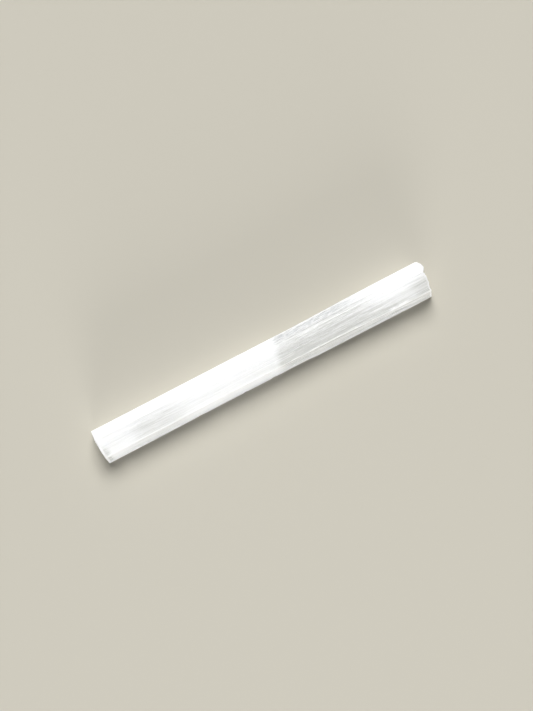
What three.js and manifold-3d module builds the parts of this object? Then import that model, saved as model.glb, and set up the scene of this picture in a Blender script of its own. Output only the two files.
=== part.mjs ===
// A raw selenite blade: one straight piece of satin spar, split from its vein along the fibres.
// Millimetres, +Z up. +X runs along the fibres, from the snapped square end to the ragged end.
// The blade lies on its flat side, so the origin is under its middle, on the surface that it rests on.
import * as THREE from "three";
import { mergeVertices } from "three/addons/utils/BufferGeometryUtils.js";
import Module from "manifold-3d";

// The blade's overall size.
const LENGTH = 150;
const WIDTH = 14.6;
const HEIGHT = 10;

// The corners of the cross-section in order: up the leaning near side from its thin lip, over the
// low crowned top, down the nearly upright far side, and back along the foot. y is measured from the
// near side. planks is how many cleavage planks make the facet after the corner, facet is the kind
// of that facet, and drift names the slow change along the blade that moves the corner.
const SECTION = [
  { y: 0.35, z: 0, planks: 1, facet: "lip", drift: "near" },
  { y: 0, z: 0.48, planks: 1, facet: "lip", drift: "near" },
  { y: 0.6, z: 1.05, planks: 4, facet: "side", drift: "lip" },
  { y: 1.85, z: 8.85, planks: 1, facet: "side", drift: "ridge" },
  { y: 3.9, z: 9.55, planks: 2, facet: "side", drift: "ridge" },
  { y: 6.8, z: 9.95, planks: 2, facet: "side", drift: "crown" },
  { y: 9.4, z: HEIGHT, planks: 2, facet: "bundle", drift: "crest" },
  { y: 12, z: 9.4, planks: 1, facet: "bundle", drift: "far" },
  { y: 14, z: 8.6, planks: 1, facet: "bundle", drift: "far" },
  { y: 14.5, z: 6.5, planks: 3, facet: "side", drift: "far" },
  { y: WIDTH, z: 2.2, planks: 1, facet: "side", drift: "far" },
  { y: 14.15, z: 0, planks: 4, facet: "foot", drift: "far" },
];

// Slow changes along the length. A range says from which x to which x a change takes place.
const FAR_TAPER = 0.1;
const CREST_DRIFT = 0.8;
const RIDGE_RUN_OUT = 0.95;
const RIDGE_RUN_OUT_RANGE = [96, 143];
const NEAR_STEP = 0.3;
const NEAR_STEP_RANGE = [91, 96];
const NEAR_SPREAD = 0.22;
const NEAR_SPREAD_RANGE = [98, 138];
const LIP_LOST = 0.36;
const LIP_LOST_RANGE = [136, 141];
const RAISED_BUNDLE = 0.34;
const RAISED_BUNDLE_RANGE = [92, 118];

// The cleavage planks: how deep they lie, where they break to another depth, and the long slivers
// that are gone from them.
const SEED = 11;
const RISER = 0.14;
const PLANK_DEPTH = 0.13;
const BREAK_DEPTH = [-0.07, 0.1];
const BREAK_AT = [15, 135];
const BREAK_RUN = [2, 7];
const SLIVER_DEPTH = 0.22;
const SLIVER_AT = [8, 112];
const SLIVER_LENGTH = [14, 48];
const SLIVER_RUN_IN = 9;
const SLIVER_RUN_OUT = 3;
const FOOT_RELIEF = 0.15;

// The two ends. A set-back is how far the end lies inside the blade's full length, listed by y.
const SNAPPED_SET_BACK = [
  [0, 0.5],
  [9.6, -0.3],
  [WIDTH, 0.15],
];
const SNAPPED_LEAN = 0.1;
const RAGGED_SET_BACK_AT_TOP = [
  [0, 1.75],
  [2.8, 1.65],
  [5.1, 0.92],
  [6.7, 0.72],
  [8.4, 0.85],
  [9.05, 1.2],
  [9.75, 0.42],
  [10.8, 0.05],
  [12, 0.1],
  [13, 0.5],
  [13.8, 1.1],
  [WIDTH, 1.9],
];
const RAGGED_SET_BACK_AT_FOOT = [
  [0, 1.05],
  [1.7, 1],
  [4.3, 0.7],
  [6.4, 0.4],
  [8.2, 0.4],
  [9.8, 0.8],
  [11.2, 0.5],
  [12.6, 0.7],
  [WIDTH, 1.5],
];

// Each end broke bundle by bundle: a bundle of fibres is this wide, and lies back by up to this much.
const BUNDLE = 1.7;
const BUNDLES_ACROSS = 10;
const BUNDLES_UP = 8;
const BUNDLE_GAP = 0.06;
const BUNDLE_WAVE = 0.35;
const BUNDLE_MARGIN = 1.7;
const SNAPPED_STEP = 0.22;
const RAGGED_STEP = 0.24;

// How finely the bar is divided, and how far it runs past each end before the ends are broken off.
const STATIONS = 56;
const OVERRUN = 1.5;
const BREAK_BLOCK = 4;

// A smooth rise from 0 to 1 over a range.
const ramp = (x, [from, to]) => THREE.MathUtils.smoothstep(x, from, to);

// A repeatable random number inside a range.
const draw = ([low, high]) => THREE.MathUtils.lerp(low, high, THREE.MathUtils.seededRandom());

// Straight lines between listed points, level beyond the first and the last.
function along(table, at) {
  const next = table.findIndex(([place]) => place > at);
  if (next === 0) return table[0][1];
  if (next < 0) return table[table.length - 1][1];
  const [x0, v0] = table[next - 1];
  const [x1, v1] = table[next];
  return THREE.MathUtils.mapLinear(at, x0, x1, v0, v1);
}

// How far each kind of corner has moved across the blade at x.
function drifts(x) {
  const near = -NEAR_STEP * ramp(x, NEAR_STEP_RANGE) - NEAR_SPREAD * ramp(x, NEAR_SPREAD_RANGE);
  const ridge = -RIDGE_RUN_OUT * ramp(x, RIDGE_RUN_OUT_RANGE);
  const crest = CREST_DRIFT * (0.5 - x / LENGTH);
  return {
    near,
    lip: near - LIP_LOST * ramp(x, LIP_LOST_RANGE),
    ridge,
    crown: (ridge + crest) / 2,
    crest,
    far: (-FAR_TAPER * x) / LENGTH,
  };
}

// One cleavage plank.
function makePlank() {
  const sliverAt = draw(SLIVER_AT);
  const breakAt = draw(BREAK_AT);
  return {
    depth: draw([0, PLANK_DEPTH]),
    breakDepth: draw(BREAK_DEPTH),
    breakRange: [breakAt, breakAt + draw(BREAK_RUN)],
    sliverDepth: SLIVER_DEPTH * draw([0, 1]) ** 2,
    sliverIn: [sliverAt, sliverAt + SLIVER_RUN_IN],
    sliverEnd: sliverAt + draw(SLIVER_LENGTH),
  };
}

THREE.MathUtils.seededRandom(SEED);
const planks = SECTION.map((corner) => Array.from({ length: corner.planks }, makePlank));

// How far a plank of a facet lies below the flat of the facet at x.
function plankDepth(facet, index, x) {
  const kind = SECTION[facet].facet;
  const plank = planks[facet][index];
  const isOuter = index === 0 || index === planks[facet].length - 1;
  if (kind === "lip") return 0;
  if (kind === "foot") return isOuter ? FOOT_RELIEF : 0;
  const sliverOut = ramp(x, [plank.sliverEnd, plank.sliverEnd + SLIVER_RUN_OUT]);
  const sliver = plank.sliverDepth * ramp(x, plank.sliverIn) * (1 - sliverOut);
  const raised = kind === "bundle" ? RAISED_BUNDLE * ramp(x, RAISED_BUNDLE_RANGE) : 0;
  return plank.depth + plank.breakDepth * ramp(x, plank.breakRange) + sliver - raised;
}

// The way in from the corner between two facets, so that a step of 1 lies 1 below both of them.
function mitre(before, after) {
  return before.clone().add(after).divideScalar(1 + before.dot(after));
}

// The cross-section at x as points, two for each plank.
function outline(x) {
  const moved = drifts(x);
  const corners = SECTION.map(({ y, z, drift }) => new THREE.Vector2(y + moved[drift], z));
  const runs = corners.map((from, i) => corners[(i + 1) % corners.length].clone().sub(from));
  const inward = runs.map((run) => new THREE.Vector2(run.y, -run.x).normalize());
  const points = [];
  runs.forEach((run, facet) => {
    const count = planks[facet].length;
    const gap = RISER / 2 / run.length();
    const before = mitre(inward.at(facet - 1), inward[facet]);
    const after = mitre(inward[facet], inward[(facet + 1) % runs.length]);
    for (let index = 0; index < count; index += 1) {
      const depth = plankDepth(facet, index, x);
      const start = corners[facet].clone().addScaledVector(run, index / count + gap);
      const end = corners[facet].clone().addScaledVector(run, (index + 1) / count - gap);
      points.push(start.addScaledVector(index === 0 ? before : inward[facet], depth));
      points.push(end.addScaledVector(index === count - 1 ? after : inward[facet], depth));
    }
  });
  return points;
}

// A geometry with only its places, each stored once, which is what a solid needs.
function bare(geometry) {
  geometry.deleteAttribute("normal");
  geometry.deleteAttribute("uv");
  return mergeVertices(geometry, 1e-5);
}

// The bar before its ends are broken off. A turned bar gives the closed grid, with one step of its
// height for each station, and every point of it is then moved to its place on the crystal.
function barGeometry() {
  const sides = outline(0).length;
  const rim = Array.from({ length: STATIONS }, (_, station) => new THREE.Vector2(1, station));
  const profile = [new THREE.Vector2(0, 0), ...rim, new THREE.Vector2(0, STATIONS - 1)];
  const bar = bare(new THREE.LatheGeometry(profile, sides));
  const position = bar.getAttribute("position");
  const places = rim.map((_, i) => THREE.MathUtils.lerp(-OVERRUN, LENGTH + OVERRUN, i / (STATIONS - 1)));
  const rings = places.map(outline);
  const middle = new THREE.Vector2(WIDTH / 2, HEIGHT / 2);
  for (let i = 0; i < position.count; i += 1) {
    const station = Math.round(position.getY(i));
    const share = Math.hypot(position.getX(i), position.getZ(i));
    const turn = Math.atan2(-position.getX(i), position.getZ(i)) / (2 * Math.PI);
    const side = (Math.round(turn * sides) + sides) % sides;
    const spot = middle.clone().lerp(rings[station][side], share);
    position.setXYZ(i, places[station], spot.x, spot.y);
  }
  return bar;
}

const snappedSetBack = (y, z) => along(SNAPPED_SET_BACK, y) + (SNAPPED_LEAN * z) / HEIGHT;

function raggedSetBack(y, z) {
  const share = THREE.MathUtils.clamp(z / HEIGHT, 0, 1);
  return THREE.MathUtils.lerp(along(RAGGED_SET_BACK_AT_FOOT, y), along(RAGGED_SET_BACK_AT_TOP, y), share);
}

// Where a grid line of an end lies: two lines for each bundle, just inside its two edges.
function bundleEdge(line) {
  const share = line % 2 === 0 ? BUNDLE_GAP : 1 - BUNDLE_GAP;
  return (Math.floor(line / 2) + share) * BUNDLE - BUNDLE_MARGIN;
}

// A block that breaks off what lies outside an end. Its inner face is a grid of fibre bundles, each
// at its own depth, with edges that wander a little. facing is 1 at x = 0 and -1 at the other end.
function breakBlock(setBack, step, facing) {
  const across = 2 * BUNDLES_ACROSS - 1;
  const up = 2 * BUNDLES_UP - 1;
  const depths = Array.from({ length: BUNDLES_ACROSS * BUNDLES_UP }, () => draw([0, step]));
  const block = bare(new THREE.BoxGeometry(2, across, up, 1, across, up));
  const position = block.getAttribute("position");
  for (let i = 0; i < position.count; i += 1) {
    const column = Math.round(position.getY(i) + across / 2);
    const row = Math.round(position.getZ(i) + up / 2);
    const y = bundleEdge(column) + BUNDLE_WAVE * Math.sin(bundleEdge(row));
    const z = bundleEdge(row) + BUNDLE_WAVE * Math.sin(bundleEdge(column));
    const bundle = Math.floor(column / 2) * BUNDLES_UP + Math.floor(row / 2);
    const isInner = position.getX(i) * facing > 0;
    const inside = isInner ? setBack(y, z) + depths[bundle] : -BREAK_BLOCK;
    position.setXYZ(i, facing > 0 ? inside : LENGTH - inside, y, z);
  }
  return block;
}

const wasm = await Module();
wasm.setup();

function solidOf(geometry) {
  const vertProperties = geometry.getAttribute("position").array;
  const triVerts = new Uint32Array(geometry.index.array);
  return new wasm.Manifold(new wasm.Mesh({ numProp: 3, vertProperties, triVerts }));
}

function geometryOf(solid) {
  const { vertProperties, triVerts } = solid.getMesh();
  const geometry = new THREE.BufferGeometry();
  geometry.setAttribute("position", new THREE.BufferAttribute(vertProperties, 3));
  geometry.setIndex(new THREE.BufferAttribute(triVerts, 1));
  return geometry;
}

// The crystal: the bar with both ends broken off, set on its foot over the origin.
function bladeGeometry() {
  const snapped = solidOf(breakBlock(snappedSetBack, SNAPPED_STEP, 1));
  const ragged = solidOf(breakBlock(raggedSetBack, RAGGED_STEP, -1));
  const geometry = geometryOf(solidOf(barGeometry()).subtract(snapped).subtract(ragged));
  geometry.computeBoundingBox();
  const { min, max } = geometry.boundingBox;
  geometry.translate(-(min.x + max.x) / 2, -(min.y + max.y) / 2, -min.z);
  geometry.computeVertexNormals();
  return geometry;
}

const satinSpar = new THREE.MeshStandardMaterial({ color: 0xf1f1ee, roughness: 0.38, metalness: 0 });

const blade = new THREE.Mesh(bladeGeometry(), satinSpar);
blade.name = "blade";

const crystal = new THREE.Group();
crystal.add(blade);

export default crystal;
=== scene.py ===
# %% [markdown]
# # A raw selenite blade
# Satin spar is a selenite that grows as a band of fibres, each as long as the band is thick. It splits
# along them as wood does, so a raw stick is a bar of long, flat planks with broken ends. This lesson
# dresses a plain measured solid of such a stick: a fine mesh with every plank, nick and broken
# bundle, and one crystal material that is milky in some places and half clear in others.

# %% Load the measured solid
from collections import namedtuple

import bmesh
import bpy
import numpy as np
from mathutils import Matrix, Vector


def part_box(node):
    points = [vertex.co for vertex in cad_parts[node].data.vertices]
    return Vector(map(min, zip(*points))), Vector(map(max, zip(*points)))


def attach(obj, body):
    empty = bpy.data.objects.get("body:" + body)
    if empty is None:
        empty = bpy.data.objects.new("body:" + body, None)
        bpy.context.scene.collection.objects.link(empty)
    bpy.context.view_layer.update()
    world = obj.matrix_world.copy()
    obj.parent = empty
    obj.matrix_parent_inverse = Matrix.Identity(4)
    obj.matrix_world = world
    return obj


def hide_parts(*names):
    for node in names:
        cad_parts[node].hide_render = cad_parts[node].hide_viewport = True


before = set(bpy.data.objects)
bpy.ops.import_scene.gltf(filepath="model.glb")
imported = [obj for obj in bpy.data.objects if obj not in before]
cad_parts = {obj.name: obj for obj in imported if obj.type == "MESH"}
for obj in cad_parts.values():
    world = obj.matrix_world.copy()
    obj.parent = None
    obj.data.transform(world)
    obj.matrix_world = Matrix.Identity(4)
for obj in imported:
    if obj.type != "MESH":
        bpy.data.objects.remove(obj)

solid_low, solid_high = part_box("blade")
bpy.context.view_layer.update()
print("measured solid, mm:", [round(side * 1000, 1) for side in solid_high - solid_low])

# %% [markdown]
# The solid already says how long, wide and high the blade is, so the fine mesh repeats its
# cross-section instead of remeshing it. A remesh would round off every ridge. Drawing the section
# again with many more points keeps the ridges sharp and leaves room for fibres between them.
# The numbers are millimetres here, because a stick of crystal is measured that way, and the mesh
# is turned into metres at the end.
#
# The corners go up the leaning near side from its thin lip, over the low crowned top, down the
# nearly upright far side and back along the foot. y starts at the near side. Each corner says how
# many cleavage planks make up the facet after it, what kind of facet that is, and which slow
# change along the blade moves it.

# %% The cross-section
MM = 0.001
LENGTH = 150.0
WIDTH = 14.6
HEIGHT = 10.0

Corner = namedtuple("Corner", "y z planks facet drift")
SECTION = [
    Corner(0.35, 0.0, 1, "lip", "near"),
    Corner(0.0, 0.48, 1, "lip", "near"),
    Corner(0.6, 1.05, 4, "side", "lip"),
    Corner(1.85, 8.85, 1, "side", "ridge"),
    Corner(3.9, 9.55, 2, "side", "ridge"),
    Corner(6.8, 9.95, 2, "side", "crown"),
    Corner(9.4, HEIGHT, 2, "bundle", "crest"),
    Corner(12.0, 9.4, 1, "bundle", "far"),
    Corner(14.0, 8.6, 1, "bundle", "far"),
    Corner(14.5, 6.5, 3, "side", "far"),
    Corner(WIDTH, 2.2, 1, "side", "far"),
    Corner(14.15, 0.0, 4, "foot", "far"),
]
NEAR_RIDGE = 3
FAR_SHOULDER = 8
FOOT = 11
print("section:", len(SECTION), "facets,", sum(corner.planks for corner in SECTION), "planks")

# %% Slow changes along the blade
FAR_TAPER = 0.1
CREST_DRIFT = 0.8
RIDGE_RUN_OUT = 0.95
RIDGE_RUN_OUT_RANGE = (96, 143)
NEAR_STEP = 0.3
NEAR_STEP_RANGE = (91, 96)
NEAR_SPREAD = 0.22
NEAR_SPREAD_RANGE = (98, 138)
LIP_LOST = 0.36
LIP_LOST_RANGE = (136, 141)
RAISED_BUNDLE = 0.34
RAISED_BUNDLE_RANGE = (92, 118)


def smooth(share):
    """The same share from 0 to 1, with a soft start and a soft stop."""
    return share * share * (3 - 2 * share)


def ramp(x, low, high):
    """A smooth rise from 0 to 1 between two places."""
    return smooth(np.clip((x - low) / (high - low), 0, 1))


def drifts(x):
    """How far each kind of corner has moved across the blade, for every station at x."""
    near = -NEAR_STEP * ramp(x, *NEAR_STEP_RANGE) - NEAR_SPREAD * ramp(x, *NEAR_SPREAD_RANGE)
    ridge = -RIDGE_RUN_OUT * ramp(x, *RIDGE_RUN_OUT_RANGE)
    crest = CREST_DRIFT * (0.5 - x / LENGTH)
    return {
        "near": near,
        "lip": near - LIP_LOST * ramp(x, *LIP_LOST_RANGE),
        "ridge": ridge,
        "crown": (ridge + crest) / 2,
        "crest": crest,
        "far": -FAR_TAPER * x / LENGTH,
    }


# %% [markdown]
# The planks come from a seeded chain of random numbers, so they lie where the solid has them and
# the script makes the same crystal each time. The chain is a short one, the kind that small
# programs use: it adds a step, mixes the bits and keeps 32 of them.

# %% The planks of the solid
SEED = 11
WORD = 0xFFFFFFFF
CHAIN_STEP = 0x6D2B79F5
PLANK_DEPTH = 0.13
BREAK_DEPTH = (-0.07, 0.1)
BREAK_AT = (15, 135)
BREAK_RUN = (2, 7)
SLIVER_DEPTH = 0.22
SLIVER_AT = (8, 112)
SLIVER_LENGTH = (14, 48)
SLIVER_RUN_IN = 9
SLIVER_RUN_OUT = 3
FOOT_RELIEF = 0.15
RISER = 0.14


class Chance:
    """A repeatable chain of numbers from 0 to 1."""

    def __init__(self, seed):
        self.state = seed

    def __call__(self):
        self.state += CHAIN_STEP
        mix = self.state & WORD
        mix = ((mix ^ (mix >> 15)) * (mix | 1)) & WORD
        mix ^= (mix + (((mix ^ (mix >> 7)) * (mix | 61)) & WORD)) & WORD
        return ((mix ^ (mix >> 14)) & WORD) / (WORD + 1)

    def between(self, low, high):
        """The next number, spread over a range."""
        return low + (high - low) * self()


Plank = namedtuple("Plank", "depth break_depth break_at break_run sliver_depth sliver_at sliver_length")


def make_plank(chance):
    """One cleavage plank, with its numbers drawn in the order that the solid draws them in."""
    sliver_at = chance.between(*SLIVER_AT)
    break_at = chance.between(*BREAK_AT)
    depth = chance.between(0, PLANK_DEPTH)
    break_depth = chance.between(*BREAK_DEPTH)
    break_run = chance.between(*BREAK_RUN)
    sliver_depth = SLIVER_DEPTH * chance() ** 2
    sliver_length = chance.between(*SLIVER_LENGTH)
    return Plank(depth, break_depth, break_at, break_run, sliver_depth, sliver_at, sliver_length)


chance = Chance(SEED)
chance()
planks = [[make_plank(chance) for _ in range(corner.planks)] for corner in SECTION]
print("first plank:", planks[0][0])

# %% [markdown]
# Between the planks the real surface is never smooth. Two kinds of relief make it up. Shingles are
# flat cells, long and narrow, each at its own depth: they are the ends of fibre bundles that tore
# off. Waves are the soft swell under them. Both are drawn on a stretched lattice, the distance
# round the section one way and the length of the blade the other way.

# %% Soft swells on a stretched lattice
LATTICE_ROWS = 97
LATTICE_COLUMNS = 89


def lattice(rows, columns, seed):
    """A table of repeatable random numbers from -1 to 1."""
    return np.random.default_rng(seed).uniform(-1, 1, (rows, columns))


def waves(around, along, width, length, seed):
    """Smooth noise from -1 to 1, with swells of that width and length."""
    table = lattice(LATTICE_ROWS, LATTICE_COLUMNS, seed)
    row = around / width
    column = along / length
    i = np.floor(row).astype(int)
    j = np.floor(column).astype(int)
    down = smooth(row - i)
    across = smooth(column - j)
    rows = (i % LATTICE_ROWS, (i + 1) % LATTICE_ROWS)
    columns = (j % LATTICE_COLUMNS, (j + 1) % LATTICE_COLUMNS)
    top = table[rows[0], columns[0]] * (1 - across) + table[rows[0], columns[1]] * across
    low = table[rows[1], columns[0]] * (1 - across) + table[rows[1], columns[1]] * across
    return top * (1 - down) + low * down


sample = np.linspace(0, LENGTH, 5)
print("waves along the blade:", np.round(waves(sample, sample, 2.0, 30.0, SEED), 2))

# %% Shingles on the same lattice
ROW_WANDER = 0.35
ROW_SHIFT = 5
BREAK_WANDER = 0.12
BREAKS_PER_ROW = 4
BREAKS_PER_CELL = 9
BREAK_SLOPE = 2.5


def shingles(around, along, width, length, seed):
    """Flat cells from -1 to 1, of about that width and length, each row of them shifted."""
    table = lattice(LATTICE_ROWS, LATTICE_COLUMNS, seed)
    row_shift = lattice(LATTICE_ROWS, 1, seed + 1)[:, 0]
    wander = ROW_WANDER * waves(around, along, 3 * width, length / 2, seed + 2)
    i = np.floor(around / width + wander).astype(int) % LATTICE_ROWS
    break_size = (width / BREAKS_PER_ROW, length / BREAKS_PER_CELL)
    ragged = BREAK_WANDER * waves(around, along, *break_size, seed + 3)
    column = along / length + ROW_SHIFT * row_shift[i] + ragged
    j = np.floor(column).astype(int)
    blunt = np.clip((column - j) * length / BREAK_SLOPE, 0, 1)
    before = table[i, (j - 1) % LATTICE_COLUMNS]
    return before * (1 - blunt) + table[i, j % LATTICE_COLUMNS] * blunt


print("shingles along the blade:", np.round(shingles(sample, sample, 2.0, 30.0, SEED), 2))

# %% [markdown]
# The loft needs the same number of points in every cross-section. Wide planks get more of them. The
# near and the far side get equal numbers, and so do the top and the foot, because each end is then
# a tidy grid stretched between four sides.

# %% How many points each plank has
SIDE_POINTS = 64
TOP_POINTS = 80
FEWEST_POINTS = 2


def sections_at(x):
    """The corners of the section for every station at x, as an array of station, corner and y or z."""
    moved = drifts(x)
    return np.stack(
        [np.stack([corner.y + moved[corner.drift], np.full_like(x, corner.z)], -1) for corner in SECTION],
        1,
    )


def share_out(total, widths):
    """Numbers of points that add up to total, in proportion to the widths."""
    spare = total - FEWEST_POINTS * len(widths)
    exact = np.array(widths) / sum(widths) * spare
    counts = np.floor(exact).astype(int)
    for index in np.argsort(counts - exact)[: spare - counts.sum()]:
        counts[index] += 1
    return list(counts + FEWEST_POINTS)


first_section = sections_at(np.zeros(1))[0]
facet_widths = np.linalg.norm(np.roll(first_section, -1, 0) - first_section, axis=1)
plank_widths = [facet_widths[i] / SECTION[i].planks for i in range(len(SECTION)) for _ in planks[i]]
plank_facets = [i for i in range(len(SECTION)) for _ in planks[i]]
plank_counts = []
for low, high, total in [
    (0, NEAR_RIDGE, SIDE_POINTS),
    (NEAR_RIDGE, FAR_SHOULDER, TOP_POINTS),
    (FAR_SHOULDER, FOOT, SIDE_POINTS),
    (FOOT, len(SECTION), TOP_POINTS),
]:
    widths = [width for width, facet in zip(plank_widths, plank_facets) if low <= facet < high]
    plank_counts += share_out(total, widths)
AROUND = sum(plank_counts)
print("points in each section:", AROUND, "for", len(plank_counts), "planks")

# %% Stations along the blade
END_REACH = 9.0
END_STATIONS = 30
MIDDLE_STATIONS = 210

stations = np.concatenate(
    [
        END_REACH * np.linspace(0, 1, END_STATIONS, endpoint=False),
        np.linspace(END_REACH, LENGTH - END_REACH, MIDDLE_STATIONS, endpoint=False),
        LENGTH - END_REACH * np.linspace(1, 0, END_STATIONS + 1),
    ]
)
print("stations:", len(stations), "with", round(stations[1] - stations[0], 2), "mm between the first")

# %% [markdown]
# The skin follows the section plank by plank. The solid steps sharply from one plank to the next,
# but on the real blade most of those steps are soft, so the fine mesh keeps only a part of each
# plank's depth, feathers the broken ends and rounds the corners that turn very little.

# %% How deep a plank lies
STEP_SHARE = 0.6
FEATHER = 3.0
FEATHER_WIDTH = 0.45
FEATHER_LENGTH = 40.0
FEATHER_SEED = 5


def plank_depth(plank, kind, is_outer, x, around):
    """How far a plank lies below the flat of its facet, with feathered breaks."""
    if kind == "lip":
        return np.zeros_like(x + around)
    if kind == "foot":
        return np.full_like(x + around, FOOT_RELIEF if is_outer else 0.0)
    x = x + FEATHER * waves(around, x, FEATHER_WIDTH, FEATHER_LENGTH, FEATHER_SEED)
    broken = plank.break_depth * ramp(x, plank.break_at, plank.break_at + plank.break_run)
    sliver_end = plank.sliver_at + plank.sliver_length
    sliver = ramp(x, plank.sliver_at, plank.sliver_at + SLIVER_RUN_IN)
    sliver = sliver * (1 - ramp(x, sliver_end, sliver_end + SLIVER_RUN_OUT))
    raised = RAISED_BUNDLE * ramp(x, *RAISED_BUNDLE_RANGE) if kind == "bundle" else 0.0
    return STEP_SHARE * (plank.depth + broken + plank.sliver_depth * sliver) - raised


print("deepest plank, mm:", round(max(plank.depth for facet in planks for plank in facet), 3))

# %% Fibres on the planks
Relief = namedtuple("Relief", "width length depth")
FIBRE_SHINGLES = [Relief(1.25, 46.0, 0.045), Relief(0.62, 27.0, 0.03), Relief(0.42, 13.0, 0.016)]
FIBRE_WAVES = [Relief(2.6, 70.0, 0.05), Relief(0.7, 34.0, 0.02)]
SHINGLE_SEED = 40
WAVE_SEED = 90
SEED_STEP = 10


def fibre_relief(x, around):
    """The shingles and waves together, in millimetres, deeper where it is positive."""
    relief = np.zeros_like(x + around)
    for number, (width, length, depth) in enumerate(FIBRE_SHINGLES):
        relief += depth * shingles(around, x, width, length, SHINGLE_SEED + SEED_STEP * number)
    for number, (width, length, depth) in enumerate(FIBRE_WAVES):
        relief += depth * waves(around, x, width, length, WAVE_SEED + SEED_STEP * number)
    return relief


print("fibre relief along the blade, mm:", np.round(fibre_relief(sample, sample), 3))

# %% The facets at every station
EDGE_SHARP = 0.16
SOFT_TURN = 0.034
SOFT_RISER = 1.3


def mitre(before, after):
    """The way in from the corner between two facets: a step of 1 lies 1 below both of them."""
    return (before + after) / (1 + (before * after).sum(-1, keepdims=True))


corners = sections_at(stations)
run = np.roll(corners, -1, 1) - corners
inward = np.stack([run[..., 1], -run[..., 0]], -1)
inward = inward / np.linalg.norm(inward, axis=-1, keepdims=True)
turns = 1 - (inward[0] * np.roll(inward[0], 1, 0)).sum(-1)
edges = np.clip(turns / EDGE_SHARP, 0, 1) ** 2
risers = np.where(turns < SOFT_TURN, SOFT_RISER, RISER)
along = stations[:, None]
facet_starts = np.concatenate([[0], np.cumsum(facet_widths)])
print("sharp edges:", int((edges == 1).sum()), "soft corners:", int((risers == SOFT_RISER).sum()))

# %% [markdown]
# Sharp edges of selenite bruise when sticks rub together. The bruises are short nicks, and the
# crystal turns white in them. Each point of the mesh keeps how near it is to such an edge, so the
# same value cuts the nicks here and whitens them later in the material.

# %% Wear along the edges
EDGE_WIDTH = 0.42
EDGES_APART = 7.0
NICK_DEPTH = 0.16
NICK_LENGTH = 1.9
NICK_CHANCE = 0.35
NICK_SLANT = 0.3
NICK_SEED = 17
RUBBED_SMOOTH = 0.6
RUBBED_WHITE = 0.6
NICKED_WHITE = 1.6


def wear_near_edges(facet, index, share):
    """How near a plank's points are to a sharp edge, and how much is nicked off there."""
    count = SECTION[facet].planks
    following = (facet + 1) % len(SECTION)
    width = facet_widths[facet]
    near_start = np.exp(-((width * (index + share) / count / EDGE_WIDTH) ** 2))
    near_end = np.exp(-((width * (1 - (index + share) / count) / EDGE_WIDTH) ** 2))
    wear = near_start * edges[facet] + near_end * edges[following]
    edge = np.where(share + index < count / 2, facet, facet + 1) * EDGES_APART
    nick = waves(edge + NICK_SLANT * share, along, 1.0, NICK_LENGTH, NICK_SEED)
    return wear, np.clip((nick - NICK_CHANCE) / (1 - NICK_CHANCE), 0, 1) * wear


# %% The skin of the blade
def plank_run(facet, index):
    """From where to where a plank runs, as shares of its facet, for every station."""
    count = SECTION[facet].planks
    half_gap = 0.5 / np.linalg.norm(run[:, facet], axis=-1)[:, None]
    riser_before = risers[facet] if index == 0 else RISER
    riser_after = risers[(facet + 1) % len(SECTION)] if index == count - 1 else RISER
    return index / count + half_gap * riser_before, (index + 1) / count - half_gap * riser_after


def ways_in(facet, index, share):
    """The way into the crystal at each point of a plank, mitred at the corners of its facet."""
    before = after = inward[:, facet]
    if index == 0:
        before = mitre(inward[:, facet - 1], inward[:, facet])
    if index == SECTION[facet].planks - 1:
        after = mitre(inward[:, facet], inward[:, (facet + 1) % len(SECTION)])
    return before[:, None] * (1 - share[..., None]) + after[:, None] * share[..., None]


def plank_skin(facet, index, point_count):
    """The points of one plank at every station, and how white the wear has made them."""
    corner = SECTION[facet]
    share = np.linspace(0, 1, point_count)[None, :]
    first, last = plank_run(facet, index)
    place = first + (last - first) * share
    around = facet_starts[facet] + facet_widths[facet] * (index + share) / corner.planks
    is_outer = index in (0, corner.planks - 1)
    depth = plank_depth(planks[facet][index], corner.facet, is_outer, along, around)
    wear, nick = wear_near_edges(facet, index, share)
    if corner.facet != "foot":
        depth = depth + fibre_relief(along, around) * (1 - RUBBED_SMOOTH * wear) + NICK_DEPTH * nick
    spot = corners[:, facet][:, None] + run[:, facet][:, None] * place[..., None]
    white = np.clip(RUBBED_WHITE * wear + NICKED_WHITE * nick, 0, 1)
    return spot + ways_in(facet, index, share) * depth[..., None], np.broadcast_to(white, depth.shape)


counts = iter(plank_counts)
parts = [
    plank_skin(facet, index, next(counts))
    for facet, corner in enumerate(SECTION)
    for index in range(corner.planks)
]
skin = np.concatenate([points for points, _ in parts], 1)
edge_wear = np.concatenate([white for _, white in parts], 1)
print("skin points:", skin.shape, "lowest", round(float(skin[..., 1].min()), 3))

# %% [markdown]
# Both ends broke across the fibres bundle by bundle, as a stick of celery does, and not in one
# clean plane. The solid has the large bundles. The fine mesh repeats them, breaks each one again
# into smaller bundles, and roughens those like sugar.

# %% The broken ends
SNAPPED_SET_BACK = [(0, 0.5), (9.6, -0.3), (WIDTH, 0.15)]
SNAPPED_LEAN = 0.1
RAGGED_AT_TOP = [
    (0, 1.75),
    (2.8, 1.65),
    (5.1, 0.92),
    (6.7, 0.72),
    (8.4, 0.85),
    (9.05, 1.2),
    (9.75, 0.42),
    (10.8, 0.05),
    (12, 0.1),
    (13, 0.5),
    (13.8, 1.1),
    (WIDTH, 1.9),
]
RAGGED_AT_FOOT = [
    (0, 1.05),
    (1.7, 1),
    (4.3, 0.7),
    (6.4, 0.4),
    (8.2, 0.4),
    (9.8, 0.8),
    (11.2, 0.5),
    (12.6, 0.7),
    (WIDTH, 1.5),
]
BUNDLE = 1.7
BUNDLES_ACROSS = 10
BUNDLES_UP = 8
BUNDLE_WAVE = 0.35
BUNDLE_MARGIN = 1.7
STRAIGHTENING_ROUNDS = 6
SNAPPED_STEP = 0.22
RAGGED_STEP = 0.24
SMALL_BUNDLE = 0.55
SMALL_STEP = 0.34
SMALL_WANDER = 0.3
SMALL_WANDER_SIZE = 0.9
SUGAR = 0.08
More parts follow.
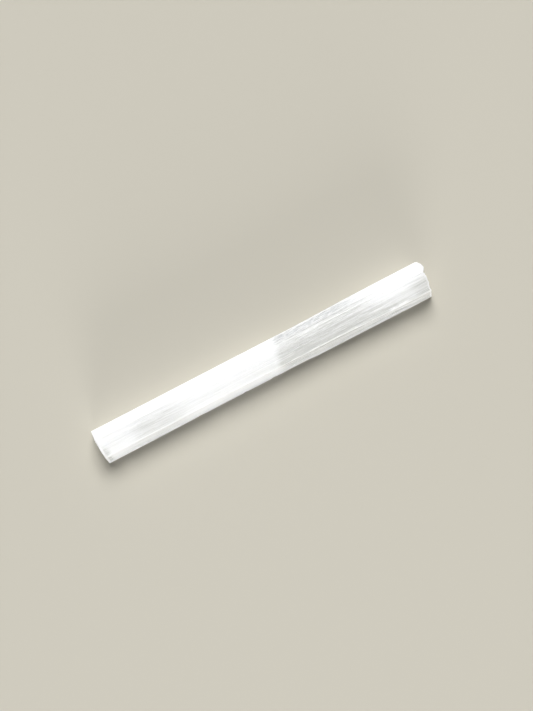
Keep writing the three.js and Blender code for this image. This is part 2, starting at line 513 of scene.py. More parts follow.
SUGAR_SIZE = 0.3
SNAPPED_SEED = 200
RAGGED_SEED = 300

snapped_depths = [chance.between(0, SNAPPED_STEP) for _ in range(BUNDLES_ACROSS * BUNDLES_UP)]
ragged_depths = [chance.between(0, RAGGED_STEP) for _ in range(BUNDLES_ACROSS * BUNDLES_UP)]


def along_table(table, y):
    """Straight lines between the listed places, level beyond the first and the last."""
    return np.interp(y, [place for place, _ in table], [value for _, value in table])


def snapped_set_back(y, z):
    """How far the snapped end lies inside the full length: it leans back a little."""
    return along_table(SNAPPED_SET_BACK, y) + SNAPPED_LEAN * z / HEIGHT


def ragged_set_back(y, z):
    """The same for the ragged end, blended from its line at the foot to its line at the top."""
    share = np.clip(z / HEIGHT, 0, 1)
    return along_table(RAGGED_AT_FOOT, y) * (1 - share) + along_table(RAGGED_AT_TOP, y) * share


def bundle_depth(depths, y, z):
    """The depth of the large bundle that a point of the end is in."""
    straight_y = y
    straight_z = z
    for _ in range(STRAIGHTENING_ROUNDS):
        straight_y = y - BUNDLE_WAVE * np.sin(straight_z)
        straight_z = z - BUNDLE_WAVE * np.sin(straight_y)
    column = np.clip(np.floor((straight_y + BUNDLE_MARGIN) / BUNDLE).astype(int), 0, BUNDLES_ACROSS - 1)
    row = np.clip(np.floor((straight_z + BUNDLE_MARGIN) / BUNDLE).astype(int), 0, BUNDLES_UP - 1)
    return np.array(depths)[column * BUNDLES_UP + row]


def roughness(y, z, step, seed):
    """Small bundles and the sugary grain on them."""
    wander_y = y + SMALL_WANDER * waves(y, z, SMALL_WANDER_SIZE, SMALL_WANDER_SIZE, seed)
    wander_z = z + SMALL_WANDER * waves(y, z, SMALL_WANDER_SIZE, SMALL_WANDER_SIZE, seed + 1)
    cells = lattice(LATTICE_ROWS, LATTICE_COLUMNS, seed + 2)
    row = np.floor(wander_y / SMALL_BUNDLE).astype(int) % LATTICE_ROWS
    column = np.floor(wander_z / SMALL_BUNDLE).astype(int) % LATTICE_COLUMNS
    grain = waves(y, z, SUGAR_SIZE, SUGAR_SIZE, seed + 3)
    return step * SMALL_STEP * (cells[row, column] + 1) + SUGAR * grain


def snapped_end(y, z):
    """The set-back of the snapped end with all its bundles."""
    small = roughness(y, z, SNAPPED_STEP, SNAPPED_SEED)
    return snapped_set_back(y, z) + bundle_depth(snapped_depths, y, z) + small


def ragged_end(y, z):
    """The set-back of the ragged end with all its bundles."""
    small = roughness(y, z, RAGGED_STEP, RAGGED_SEED)
    return ragged_set_back(y, z) + bundle_depth(ragged_depths, y, z) + small


def placed(t, y, z):
    """Where a point of station t lies: the stations lean back as they near a broken end."""
    to_snapped = np.clip(1 - t / END_REACH, 0, 1)
    to_ragged = np.clip(1 - (LENGTH - t) / END_REACH, 0, 1)
    x = t + snapped_end(y, z) * to_snapped - ragged_end(y, z) * to_ragged
    return np.stack([x, y, z], -1)


skin_y = skin[..., 0]
skin_z = skin[..., 1]
skin_xyz = placed(np.broadcast_to(along, skin_y.shape), skin_y, skin_z)
print("length of the skin:", round(float(np.ptp(skin_xyz[..., 0])), 2), "mm")

# %% [markdown]
# An end is a grid stretched between the four sides of the last section. A grid of this kind is
# called a Coons patch: it blends the two pairs of opposite sides and takes away what the corners
# counted twice. A fan from the middle would be simpler, but its thin triangles show in the light.

# %% A grid across an end
CORNER_POINTS = [0, SIDE_POINTS, SIDE_POINTS + TOP_POINTS, 2 * SIDE_POINTS + TOP_POINTS]


def end_sides():
    """Places in a section of the foot, the top, the near side and the far side, from low y and low z."""
    foot = [0] + list(range(AROUND - 1, CORNER_POINTS[3] - 1, -1))
    top = list(range(CORNER_POINTS[1], CORNER_POINTS[2] + 1))
    near = list(range(0, CORNER_POINTS[1] + 1))
    far = list(range(CORNER_POINTS[3], CORNER_POINTS[2] - 1, -1))
    return foot, top, near, far


def coons(ring):
    """The inner points of the grid across a ring, as y and z."""
    foot, top, near, far = (ring[side] for side in end_sides())
    u = np.linspace(0, 1, TOP_POINTS + 1)[:, None, None]
    v = np.linspace(0, 1, SIDE_POINTS + 1)[None, :, None]
    between_foot_and_top = foot[:, None] * (1 - v) + top[:, None] * v
    between_sides = near[None] * (1 - u) + far[None] * u
    low = foot[0] * (1 - u) + foot[-1] * u
    high = top[0] * (1 - u) + top[-1] * u
    grid = between_foot_and_top + between_sides - (low * (1 - v) + high * v)
    return grid[1:-1, 1:-1]


ends = []
for station in (0, len(stations) - 1):
    grid = coons(skin[station])
    ends.append(placed(np.full(grid.shape[:2], stations[station]), grid[..., 0], grid[..., 1]))
print("points inside each end:", ends[0].shape[:2])

# %% Faces of the skin and the ends
def ring_faces(rings):
    """Four-sided faces between neighbouring rings."""
    i, j = np.meshgrid(np.arange(rings - 1), np.arange(AROUND), indexing="ij")
    after = (j + 1) % AROUND
    ring = i * AROUND
    next_ring = (i + 1) * AROUND
    return np.stack([ring + j, ring + after, next_ring + after, next_ring + j], -1)


def end_faces(ring_start, inner_start):
    """Four-sided faces of the grid across an end, whose rim is a ring of the skin."""
    index = np.zeros((TOP_POINTS + 1, SIDE_POINTS + 1), int)
    foot, top, near, far = end_sides()
    inner = np.arange((TOP_POINTS - 1) * (SIDE_POINTS - 1)).reshape(TOP_POINTS - 1, -1)
    index[1:-1, 1:-1] = inner_start + inner
    index[:, 0] = ring_start + np.array(foot)
    index[:, -1] = ring_start + np.array(top)
    index[0, :] = ring_start + np.array(near)
    index[-1, :] = ring_start + np.array(far)
    return np.stack([index[:-1, :-1], index[1:, :-1], index[1:, 1:], index[:-1, 1:]], -1)


skin_count = len(stations) * AROUND
end_count = ends[0].shape[0] * ends[0].shape[1]
last_ring = (len(stations) - 1) * AROUND
points = np.concatenate([skin_xyz.reshape(-1, 3), ends[0].reshape(-1, 3), ends[1].reshape(-1, 3)])
faces = np.concatenate(
    [
        ring_faces(len(stations)).reshape(-1, 4),
        end_faces(0, skin_count).reshape(-1, 4),
        end_faces(last_ring, skin_count + end_count)[..., ::-1].reshape(-1, 4),
    ]
)
print("mesh:", len(points), "points and", 2 * len(faces), "triangles")

# %% [markdown]
# The mesh is set over the solid by its box, so it stands in the same place to a tenth of a
# millimetre. Its long edges stay sharp: an angle decides which ones, because the planks and the
# broken bundles make thousands of them.

# %% The blade as a Blender object
SHARP_ANGLE = np.radians(32)

mesh = bpy.data.meshes.new("crystal_blade")
solid_foot = Vector(((solid_low.x + solid_high.x) / 2, (solid_low.y + solid_high.y) / 2, solid_low.z))
shift = np.array(solid_foot) / MM - (points.min(0) + points.max(0)) / 2
shift[2] = solid_low.z / MM - points[:, 2].min()
mesh.from_pydata(((points + shift) * MM).tolist(), [], faces.tolist())

shape = bmesh.new()
shape.from_mesh(mesh)
bmesh.ops.recalc_face_normals(shape, faces=shape.faces)
shape.to_mesh(mesh)
shape.free()
mesh.shade_smooth()
mesh.set_sharp_from_angle(angle=SHARP_ANGLE)

crystal_blade = bpy.data.objects.new("crystal_blade", mesh)
bpy.context.scene.collection.objects.link(crystal_blade)
print("crystal_blade, mm:", [round(side * 1000, 2) for side in crystal_blade.dimensions])

# %% Values that the material reads from the mesh
SNAPPED_RIM = 1.0
RAGGED_RIM = 0.9
RIM_STRENGTH = 1.6


def store(name, values):
    """Keep one number for each point of the mesh, under a name that the material can read."""
    layer = mesh.attributes.new(name, "FLOAT", "POINT")
    layer.data.foreach_set("value", values.astype(np.float32))


rim = np.minimum(along / SNAPPED_RIM, (LENGTH - along) / RAGGED_RIM)
rim_wear = np.clip(RIM_STRENGTH * (1 - rim), 0, 1) * np.ones((1, AROUND))
store("edge_wear", np.concatenate([np.maximum(edge_wear, rim_wear).ravel(), np.ones(2 * end_count)]))
store("end_face", np.concatenate([np.clip(rim_wear.ravel(), 0, 1), np.ones(2 * end_count)]))
print("values on the mesh:", [layer.name for layer in mesh.attributes if layer.data_type == "FLOAT"])

# %% [markdown]
# The material is one crystal with several effects laid over each other. The one that comes back
# most often is the streak: fibres show as long, thin lines in the colour, in the gloss and in the
# relief. So the streak is a node group. It stretches one noise along the blade, and each copy of it
# gets its own width and length. The noise follows the object in all three directions, so a streak
# runs on over an edge instead of stopping there. A fourth number, the variant, gives each copy
# lines of its own.

# %% Small helpers for nodes
def math(tree, operation, first, second=0.0, clamp=False):
    """A math node, whose two inputs are numbers or sockets. It returns its output socket."""
    node = tree.nodes.new("ShaderNodeMath")
    node.operation = operation
    node.use_clamp = clamp
    for socket, value in zip(node.inputs, (first, second)):
        if isinstance(value, (int, float)):
            socket.default_value = value
        else:
            tree.links.new(value, socket)
    return node.outputs["Value"]


def remap(tree, value, from_low, from_high, to_low=0.0, to_high=1.0):
    """A smooth change of one range into another, whose ends are numbers or sockets."""
    node = tree.nodes.new("ShaderNodeMapRange")
    node.interpolation_type = "SMOOTHSTEP"
    tree.links.new(value, node.inputs["Value"])
    ends = {"From Min": from_low, "From Max": from_high, "To Min": to_low, "To Max": to_high}
    for name, end in ends.items():
        if isinstance(end, (int, float)):
            node.inputs[name].default_value = end
        else:
            tree.links.new(end, node.inputs[name])
    return node.outputs["Result"]


# %% The streak group
NOISE_DETAIL = 2.5
NOISE_ROUGHNESS = 0.6
SOFTEST = 0.3
SHARPENING = 0.28


def stretched_place(group, sizes):
    """The place on the object, divided by a size along each axis."""
    place = group.nodes.new("ShaderNodeTexCoord")
    split = group.nodes.new("ShaderNodeSeparateXYZ")
    join = group.nodes.new("ShaderNodeCombineXYZ")
    group.links.new(place.outputs["Object"], split.inputs["Vector"])
    for axis, size in zip("XYZ", sizes):
        group.links.new(math(group, "DIVIDE", split.outputs[axis], size), join.inputs[axis])
    return join.outputs["Vector"]


def streak_group():
    """Long thin lines along X. Width and length are metres, contrast is from 0 to 1."""
    group = bpy.data.node_groups.new("Fibre streaks", "ShaderNodeTree")
    for name, value in (("Width", 0.001), ("Length", 0.03), ("Contrast", 0.5), ("Variant", 0.0)):
        socket = group.interface.new_socket(name, in_out="INPUT", socket_type="NodeSocketFloat")
        socket.default_value = value
    group.interface.new_socket("Mask", in_out="OUTPUT", socket_type="NodeSocketFloat")
    inside = group.nodes.new("NodeGroupInput").outputs
    outside = group.nodes.new("NodeGroupOutput").inputs
    noise = group.nodes.new("ShaderNodeTexNoise")
    noise.noise_dimensions = "4D"
    noise.inputs["Scale"].default_value = 1.0
    noise.inputs["Detail"].default_value = NOISE_DETAIL
    noise.inputs["Roughness"].default_value = NOISE_ROUGHNESS
    place = stretched_place(group, (inside["Length"], inside["Width"], inside["Width"]))
    group.links.new(place, noise.inputs["Vector"])
    group.links.new(inside["Variant"], noise.inputs["W"])
    sharper = math(group, "MULTIPLY", inside["Contrast"], SHARPENING)
    spread = math(group, "SUBTRACT", SOFTEST, sharper)
    low = math(group, "SUBTRACT", 0.5, spread)
    high = math(group, "ADD", 0.5, spread)
    group.links.new(remap(group, noise.outputs["Fac"], low, high), outside["Mask"])
    return group


STREAKS = streak_group()
print("streak group sockets:", [item.name for item in STREAKS.interface.items_tree])

# %% [markdown]
# Real satin spar is milky where tiny gaps between the fibres scatter the light, and half clear where
# the fibres have grown together. This blade turns from milky to half clear a little past its
# middle, at a soft, nearly straight front. That turn is partly painted sheen: the silky band of
# light on this mineral is painted into the white before the front, and the grey past it is partly
# the lack of that band. Further along, the far side slowly turns milky again. A thin cloud lies in
# the first quarter. The ragged end is a little clear just behind its bruised rim, and the snapped
# end is a little darker just behind its own. All of these are places on the blade, so the material
# first turns the object's coordinates into millimetres from the snapped end, from the near side and
# from the foot, as the section has them.

# %% The crystal material
crystal = bpy.data.materials.new("satin_spar")
crystal.use_nodes = True
tree = crystal.node_tree
surface = tree.nodes["Principled BSDF"]


def times(*values, clamp=False):
    """The product of several numbers or sockets."""
    product = values[0]
    for value in values[1:]:
        product = math(tree, "MULTIPLY", product, value, clamp)
    return product


def plus(*values, clamp=False):
    """The sum of several numbers or sockets."""
    total = values[0]
    for value in values[1:]:
        total = math(tree, "ADD", total, value, clamp)
    return total


def minus(first, second):
    """The difference of two numbers or sockets."""
    return math(tree, "SUBTRACT", first, second)


def largest(*values):
    """The largest of several numbers or sockets."""
    largest_yet = values[0]
    for value in values[1:]:
        largest_yet = math(tree, "MAXIMUM", largest_yet, value)
    return largest_yet


def change(value, start, stop, first=0.0, last=1.0):
    """A smooth change from the first number to the last, while the value goes from start to stop."""
    return remap(tree, value, start, stop, first, last)


def band(value, rise, fall):
    """1 between two places, with a soft rise and a soft fall, each given by its two ends."""
    return times(change(value, *rise), change(value, *fall, 1, 0))


place = tree.nodes.new("ShaderNodeTexCoord")
position = tree.nodes.new("ShaderNodeSeparateXYZ")
tree.links.new(place.outputs["Object"], position.inputs["Vector"])
x, y, z = (minus(times(position.outputs[axis], 1 / MM), offset) for axis, offset in zip("XYZ", shift))
print("the origin lies at x, y =", [round(-float(offset), 2) for offset in shift[:2]])

# %% Streaks of six kinds
THREAD_SHARES = (0.55, 0.45)


def streaks(width, length, contrast, variant):
    """A copy of the streak group, in millimetres. It returns the mask socket."""
    node = tree.nodes.new("ShaderNodeGroup")
    node.node_tree = STREAKS
    node.inputs["Width"].default_value = width * MM
    node.inputs["Length"].default_value = length * MM
    node.inputs["Contrast"].default_value = contrast
    node.inputs["Variant"].default_value = variant
    return node.outputs["Mask"]


coarse = streaks(width=1.5, length=55.0, contrast=0.55, variant=1.0)
fine = streaks(width=0.32, length=24.0, contrast=0.65, variant=2.0)
hair = streaks(width=0.13, length=9.0, contrast=0.5, variant=3.0)
strands = streaks(width=0.27, length=12.0, contrast=0.9, variant=4.0)
flecks = streaks(width=0.34, length=3.0, contrast=0.9, variant=5.0)
patches = streaks(width=1.1, length=7.0, contrast=0.9, variant=6.0)
threads = plus(times(fine, THREAD_SHARES[0]), times(coarse, THREAD_SHARES[1]))
print("streak copies:", sum(node.type == "GROUP" for node in tree.nodes))

# %% The half-clear part, and where the painted sheen stops
FRONT_AT = 81.0
FRONT_RUN = 4.4
FRONT_SLANT = -0.12
FRONT_FEATHER = 0.8
FRONT_FEATHER_BELOW = 5.0
FRONT_FEATHER_Z = (4.0, 9.0)
FADE_WANDER = 9.0
FAR_FADE_X = (117, 136)
NEAR_FADE_X = (120, 143)
NEAR_FADE_LEFT = 0.4
NEAR_STRIP_Y = (4.0, 8.5)
TOP_Y = (3.6, 5.2)
TOP_CLEARNESS = 0.88

reach = change(z, *FRONT_FEATHER_Z, FRONT_FEATHER_BELOW, FRONT_FEATHER)
feather = times(minus(fine, 0.5), reach)
front = plus(x, times(plus(y, float(shift[1])), FRONT_SLANT), feather)
past_front = change(front, FRONT_AT - FRONT_RUN / 2, FRONT_AT + FRONT_RUN / 2)
uneven_x = plus(x, times(coarse, FADE_WANDER))
far_fade = change(uneven_x, *FAR_FADE_X, 1, 0)
near_fade = change(uneven_x, *NEAR_FADE_X, 1, NEAR_FADE_LEFT)
near_strip = times(change(y, *NEAR_STRIP_Y, 1, 0), near_fade)
# The white before the front is partly painted sheen, so this mask also marks where that sheen stops.
half_clear_beyond_sheen = times(past_front, largest(far_fade, near_strip), change(y, *TOP_Y, 1, TOP_CLEARNESS))
print("half clear from", FRONT_AT, "mm to about", FAR_FADE_X[1], "mm")

# %% Clouds, clear patches and a darker patch at the snapped end
CLOUD_X = ((11, 20), (27, 44))
CLOUD_Y = ((1.5, 2.3), (7.5, 13.0))
SIDE_CLOUD_X = ((7, 18), (30, 42))
CLOUD_CLEARNESS = 0.4
SNAPPED_DARKER_X = ((0.9, 1.5), (1.7, 4.4))
SNAPPED_DARKER_Y = (2.5, 7.0)
SNAPPED_DARKENING = 0.85
RAGGED_CLEAR_X = ((135, 147), (148.0, 148.8))
RAGGED_CLEAR_Y = (5.2, 10.2)
RAGGED_CLEARNESS = 0.82

cloud = times(band(x, *CLOUD_X), band(y, *CLOUD_Y), CLOUD_CLEARNESS)
side_cloud = times(band(x, *SIDE_CLOUD_X), change(y, *CLOUD_Y[0], 1, 0), CLOUD_CLEARNESS)
# Darker just behind the rim of the snapped end.
snapped_darker = times(band(x, *SNAPPED_DARKER_X), change(y, *SNAPPED_DARKER_Y, 1, 0), SNAPPED_DARKENING)
ragged_clear = times(band(x, *RAGGED_CLEAR_X), change(y, *RAGGED_CLEAR_Y, 1, 0), RAGGED_CLEARNESS)
clearness = largest(half_clear_beyond_sheen, cloud, side_cloud, snapped_darker, ragged_clear)
print("clear patches behind the rims:", SNAPPED_DARKER_X, RAGGED_CLEAR_X)

# %% [markdown]
# Near the ragged end the near side has started to split. A split that holds air shines white, and
# one that is still tight looks clear and dark. They are long and thin with tapered ends, and too
# fine to cut into the mesh, so the material draws them on the near side by place.

# %% Splits in the near side
Split = namedtuple("Split", "start stop low high")
WHITE_SPLITS = [Split(128.5, 139, 8.5, 9.7), Split(131, 145, 4.3, 6.5), Split(142.8, 146.4, 4.3, 5.6)]
TIGHT_SPLITS = [Split(130, 149, 6.6, 9.1), Split(131, 144, 1.6, 4.0)]
TIGHT_CLEARNESS = 0.7
NEAR_SKIN_Y = (2.0, 2.5)
SPLIT_BREAKS = (0.2, 1.2)
SPLIT_FAINTEST = 0.25
TAPER_SHARE = 0.25

near_skin = change(y, *NEAR_SKIN_Y, 1, 0)


def split_mask(split):
    """1 in the middle of a split, and 0 outside it."""
    taper = (split.stop - split.start) * TAPER_SHARE
    half = (split.high - split.low) / 2
    length = band(x, (split.start, split.start + taper), (split.stop - taper, split.stop))
    height = band(z, (split.low, split.low + half), (split.high - half, split.high))
    return times(length, height, near_skin)


broken_up = change(plus(strands, flecks), *SPLIT_BREAKS, SPLIT_FAINTEST, 1)
white_splits = times(largest(*[split_mask(split) for split in WHITE_SPLITS]), broken_up)
tight_splits = times(largest(*[split_mask(split) for split in TIGHT_SPLITS]), TIGHT_CLEARNESS)
print("splits:", len(WHITE_SPLITS), "white and", len(TIGHT_SPLITS), "tight")

# %% [markdown]
# The clearness is never even. Each streak swings it up or down, less so on the far side and near the
# ragged end, where the crystal is calm. A faint clearness lies between the fibres everywhere. It is
# stronger on the near half of the top, and more of it lies low on the leaning side: that extra
# darkening is painted shade, where those parts turn away from the light. The thin lip along the
# foot has none of it: it is painted white as a highlight.

# %% How clear each fibre is
MEAN_MOTTLE = 0.89
THREAD_SWING = (1.08, 0.84)
STRAND_SWING = (1.25, 0.6)
FLECK_SWING = (1.12, 0.88)
CALM_Y = (9.0, 11.0)
CALM_FAR = 0.3
CALM_X = (128, 142)
CALM_RAGGED = 0.35

thread_swing = change(threads, 0, 1, *THREAD_SWING)
strand_swing = change(strands, 0, 1, *STRAND_SWING)
mottle = times(thread_swing, strand_swing, change(flecks, 0, 1, *FLECK_SWING))
calm = times(change(y, *CALM_Y, 1, CALM_FAR), change(x, *CALM_X, 1, CALM_RAGGED))
swing = times(minus(mottle, MEAN_MOTTLE), calm)
mottled = times(clearness, plus(swing, MEAN_MOTTLE), clamp=True)
print("strands change the clearness by a factor of", STRAND_SWING)

# %% Faint clearness between the fibres, and painted shade on the near side
LIP_Z = (1.2, 1.7)
LIP_Y = (0.8, 1.2)
# The near value and the low side's value are painted shade: they darken the near half of the top and the
# low part of the leaning side, which turn away from the light.
NEAR_SHADE_Y = (5.5, 9.5)
FAINT_NEAR_WITH_SHADE = 0.29
FAINT_FAR = 0.05
LOW_SIDE_Z = (1.6, 5.0)
LOW_SIDE_Y = (1.2, 2.2)
LOW_SIDE_SHADE = 0.25
SLOPE_X = ((58, 70), (110, 125))
SLOPE_Y = ((2.0, 2.9), (3.6, 4.8))
SLOPE_CLEARNESS = 0.22

lip = times(change(z, *LIP_Z, 1, 0), change(y, *LIP_Y, 1, 0))
not_lip = minus(1.0, lip)
weave = plus(times(threads, 0.5), times(strands, 0.5))
# The near half gets more of this than the far half: that extra part is painted shade.
between = times(minus(1.0, weave), change(y, *NEAR_SHADE_Y, FAINT_NEAR_WITH_SHADE, FAINT_FAR), not_lip)
# Painted shade low on the leaning near side.
low_side_shade = times(change(z, *LOW_SIDE_Z, LOW_SIDE_SHADE, 0), change(y, *LOW_SIDE_Y, 1, 0), not_lip)
slope = times(band(x, *SLOPE_X), band(y, *SLOPE_Y), SLOPE_CLEARNESS)
faint = plus(between, low_side_shade, slope, tight_splits)
print("faint clearness, near and far:", FAINT_NEAR_WITH_SHADE, FAINT_FAR)

# %% Body colour
# The milky white is partly painted sheen, and the half-clear grey is partly where that sheen is missing.
MILKY_WITH_SHEEN = (0.94, 0.945, 0.945, 1)
HALF_CLEAR_BEYOND_SHEEN = (0.62, 0.622, 0.6, 1)
CLEARER = (0.415, 0.423, 0.425, 1)
FAR_TOP_Y = (9.4, 12.4)
FAR_TOP_Z = (7.6, 8.8)
COLOUR_A = 6
COLOUR_B = 7
COLOUR_RESULT = 2


def blend_colour(share, first, second):
    """A mix of two colours, which are values or sockets."""
    node = tree.nodes.new("ShaderNodeMix")
    node.data_type = "RGBA"
    node.clamp_factor = True
    tree.links.new(share, node.inputs["Factor"])
    for socket, value in ((node.inputs[COLOUR_A], first), (node.inputs[COLOUR_B], second)):
        if isinstance(value, tuple):
            socket.default_value = value
        else:
            tree.links.new(value, socket)
    return node.outputs[COLOUR_RESULT]


far_top = times(change(y, *FAR_TOP_Y), change(z, *FAR_TOP_Z))
clear_colour = blend_colour(far_top, HALF_CLEAR_BEYOND_SHEEN, CLEARER)
body = blend_colour(plus(mottled, faint, clamp=True), MILKY_WITH_SHEEN, clear_colour)
print("milky to half clear:", MILKY_WITH_SHEEN[:3], HALF_CLEAR_BEYOND_SHEEN[:3])

# %% Bruises, white splits, crumbly flecks and a painted highlight on the lip
# This white serves the bruises, the white splits and flecks, and the painted highlight on the lip.
BRUISED_AND_HIGHLIGHT = (0.97, 0.97, 0.965, 1)
LIP_HIGHLIGHT_PAST_FRONT = 0.5
CRUMBLY_Y = (9.6, 11.0)
PATCH_SHARE = 0.5
FLECK_SHARE = 0.38
BRUISE_FAINTEST = 0.55


def mesh_value(name):
    """A value that the mesh stores at its points."""
    node = tree.nodes.new("ShaderNodeAttribute")
    node.attribute_name = name
    return node.outputs["Fac"]


# The lip is painted white as a highlight, for the glint of light along the foot, half as much past the
# front.
lip_highlight = times(lip, change(past_front, 0, 1, 1, LIP_HIGHLIGHT_PAST_FRONT))
body = blend_colour(largest(lip_highlight, white_splits), body, BRUISED_AND_HIGHLIGHT)
crumbly = largest(change(y, *CRUMBLY_Y), times(patches, PATCH_SHARE))
body = blend_colour(times(flecks, crumbly, half_clear_beyond_sheen, FLECK_SHARE), body, BRUISED_AND_HIGHLIGHT)
end_face = mesh_value("end_face")
uneven_bruise = change(hair, 0, 1, BRUISE_FAINTEST, 1)
bruise = times(mesh_value("edge_wear"), uneven_bruise, minus(1.0, tight_splits))
tree.links.new(blend_colour(bruise, body, BRUISED_AND_HIGHLIGHT), surface.inputs["Base Color"])
print("bruised:", BRUISED_AND_HIGHLIGHT[:3])

# %% Gloss
GLOSS = (0.3, 0.44)
CLEAR_IS_GLOSSIER = -0.06
LIP_IS_GLOSSIER = -0.22
BROKEN_IS_DULLER = 0.2

broken = times(largest(bruise, end_face), BROKEN_IS_DULLER)
glossier = plus(times(clearness, CLEAR_IS_GLOSSIER), times(lip, LIP_IS_GLOSSIER))
roughness_of_skin = plus(change(threads, 0, 1, *GLOSS), glossier, broken)
tree.links.new(roughness_of_skin, surface.inputs["Roughness"])
print("roughness of whole fibres:", GLOSS)

# %% Fine relief
FINE_HEIGHT = 0.7
HAIR_HEIGHT = 0.5
FIBRE_BUMP = 0.55
FIBRE_BUMP_DISTANCE = 0.06
LIP_BUMP = 0.15
SUGAR_SCALE = 3200
SUGAR_DETAIL = 3
SUGAR_BUMP = 0.7
SUGAR_BUMP_DISTANCE = 0.12


def bump(height, strength, distance):
    """A bump node, with its distance in millimetres."""
    node = tree.nodes.new("ShaderNodeBump")
    node.inputs["Strength"].default_value = strength
    node.inputs["Distance"].default_value = distance * MM
    tree.links.new(height, node.inputs["Height"])
    return node


fibre_height = plus(times(fine, FINE_HEIGHT), times(hair, HAIR_HEIGHT))
fibre_height = times(fibre_height, change(lip, 0, 1, 1, LIP_BUMP))
fibres = bump(fibre_height, FIBRE_BUMP, FIBRE_BUMP_DISTANCE)
sugar = tree.nodes.new("ShaderNodeTexNoise")
sugar.inputs["Scale"].default_value = SUGAR_SCALE
sugar.inputs["Detail"].default_value = SUGAR_DETAIL
tree.links.new(place.outputs["Object"], sugar.inputs["Vector"])
grain = bump(times(sugar.outputs["Fac"], end_face), SUGAR_BUMP, SUGAR_BUMP_DISTANCE)
tree.links.new(fibres.outputs["Normal"], grain.inputs["Normal"])
tree.links.new(grain.outputs["Normal"], surface.inputs["Normal"])
print("bump distances, mm:", FIBRE_BUMP_DISTANCE, SUGAR_BUMP_DISTANCE)

# %% [markdown]
# Gypsum bends light a little less than window glass does. Some of the light goes right through the
# blade, most of it is scattered inside, and what the surface itself reflects is drawn out across
# the fibres, which gives the silky band of this mineral. The tangent runs round the X axis for
# that reason.

# %% How the crystal handles light
GYPSUM_IOR = 1.52
SEEN_THROUGH = 0.1
SCATTER_RADIUS = (1.0, 1.0, 0.95)
SCATTER_DEPTH = 1.9
SILKINESS = 0.7

surface.inputs["IOR"].default_value = GYPSUM_IOR
surface.inputs["Transmission Weight"].default_value = SEEN_THROUGH
surface.inputs["Subsurface Weight"].default_value = 1.0
surface.inputs["Subsurface Radius"].default_value = SCATTER_RADIUS
surface.inputs["Subsurface Scale"].default_value = SCATTER_DEPTH * MM
surface.inputs["Anisotropic"].default_value = SILKINESS
tangent = tree.nodes.new("ShaderNodeTangent")
tangent.direction_type = "RADIAL"
tangent.axis = "X"
tree.links.new(tangent.outputs["Tangent"], surface.inputs["Tangent"])

crystal_blade.data.materials.append(crystal)
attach(crystal_blade, "root")
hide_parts("blade")
print("material nodes:", len(tree.nodes))

# %% [markdown]
# A pale, plain floor lets the white crystal stand out by its shadow. The floor is a warm light
# grey, because a white one would swallow the outline. It reaches far out, so that it stays even in
# every view.

# %% The floor
FLOOR_SIZE = 40.0
FLOOR_COLOUR = (0.506, 0.483, 0.416, 1)
FLOOR_ROUGHNESS = 0.9
FLOOR_SHINE = 0.15

bpy.ops.mesh.primitive_plane_add(size=FLOOR_SIZE, location=(0, 0, solid_low.z))
floor = bpy.context.object
floor.name = "floor"
paper = bpy.data.materials.new("floor_paper")
paper.use_nodes = True
paper_surface = paper.node_tree.nodes["Principled BSDF"]
paper_surface.inputs["Base Color"].default_value = FLOOR_COLOUR
paper_surface.inputs["Roughness"].default_value = FLOOR_ROUGHNESS
paper_surface.inputs["Specular IOR Level"].default_value = FLOOR_SHINE
floor.data.materials.append(paper)
print("floor at z =", solid_low.z)

# %% [markdown]
# A sun lamp that is forty degrees wide gives the soft, even light of a bright sky through a window.
# It stands high on the far side, a little to the right, so the shadow falls on the near side with a
# soft rim. The card is a low, wide panel far out on the near side, with its light kept in a narrow
# beam. It lights the leaning near side of the blade and hardly any of the floor, so the shadow
# stays deep while the crystal beside it stays white. The world adds a little plain white.

# %% Light
KEY_ANGLE = 40
KEY_STRENGTH = 4.23
KEY_DIRECTION = Vector((0.23, 0.61, 0.79))
CARD_DISTANCE = 3.6
CARD_SIZE = (5.4, 0.72)
CARD_POWER = 25.3
CARD_SPREAD = 40
CARD_DIRECTION = Vector((-0.35, -0.93, 0.11))
FILL = 0.07


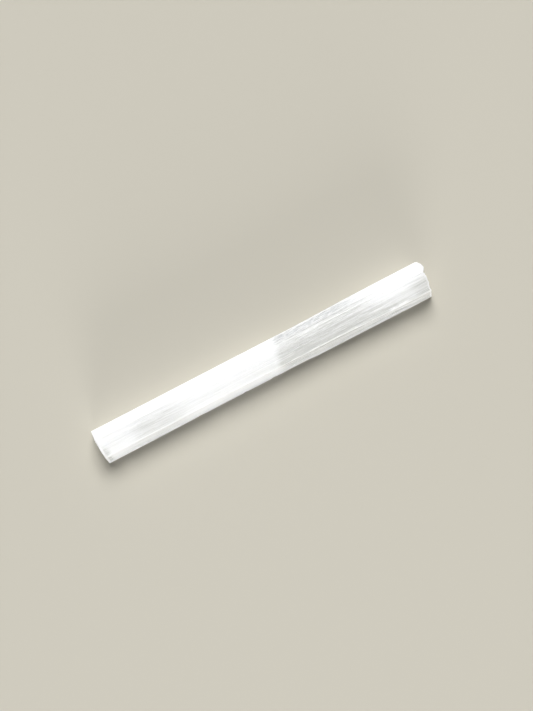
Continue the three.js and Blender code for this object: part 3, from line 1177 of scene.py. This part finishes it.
def lamp(data, direction, distance):
    """A lamp that shines on the middle of the floor from that direction."""
    made = bpy.data.objects.new(data.name, data)
    made.location = direction.normalized() * distance
    made.rotation_euler = direction.to_track_quat("Z", "Y").to_euler()
    made.visible_camera = False
    bpy.context.scene.collection.objects.link(made)
    print(data.name, "at", [round(value, 2) for value in made.location])


window = bpy.data.lights.new("window", "SUN")
window.angle = np.radians(KEY_ANGLE)
window.energy = KEY_STRENGTH
lamp(window, KEY_DIRECTION, 1.0)
card = bpy.data.lights.new("card", "AREA")
card.shape = "RECTANGLE"
card.size, card.size_y = CARD_SIZE
card.spread = np.radians(CARD_SPREAD)
card.energy = CARD_POWER
lamp(card, CARD_DIRECTION, CARD_DISTANCE)

world = bpy.data.worlds.new("studio")
world.use_nodes = True
world.node_tree.nodes["Background"].inputs["Color"].default_value = (1, 1, 1, 1)
world.node_tree.nodes["Background"].inputs["Strength"].default_value = FILL
bpy.context.scene.world = world
bpy.context.scene.view_settings.view_transform = "Standard"
print("world strength:", FILL)

# %% [markdown]
# The camera looks down almost upright with a long lens, so the leaning near side of the blade shows
# only as a thin strip. The blade lies across the frame, so the camera is turned about the upright
# axis and the blade stays straight in its own frame.

# %% Camera
CAMERA_AZIMUTH = -27.7
CAMERA_ELEVATION = 83.0
CAMERA_DISTANCE = 0.6
LENS = 75.0
SENSOR_WIDTH = 36
NEAREST_SEEN = 0.01
AIM_RIGHT = 1.04
AIM_UP = 2.69

azimuth = np.radians(CAMERA_AZIMUTH)
elevation = np.radians(CAMERA_ELEVATION)
right = Vector((np.cos(azimuth), np.sin(azimuth), 0))
level = Vector((-np.sin(azimuth), np.cos(azimuth), 0))
ahead = level * np.cos(elevation) - Vector((0, 0, np.sin(elevation)))
up = right.cross(ahead)
aim = (Vector(solid_low) + Vector(solid_high)) / 2 + (right * AIM_RIGHT + up * AIM_UP) * MM

camera_data = bpy.data.cameras.new("camera")
camera_data.lens = LENS
camera_data.sensor_width = SENSOR_WIDTH
camera_data.clip_start = NEAREST_SEEN
camera = bpy.data.objects.new("camera", camera_data)
camera.location = aim - ahead * CAMERA_DISTANCE
camera.rotation_euler = ahead.to_track_quat("-Z", "Y").to_euler()
bpy.context.scene.collection.objects.link(camera)
bpy.context.scene.camera = camera
print("camera at", [round(value, 3) for value in camera.location])
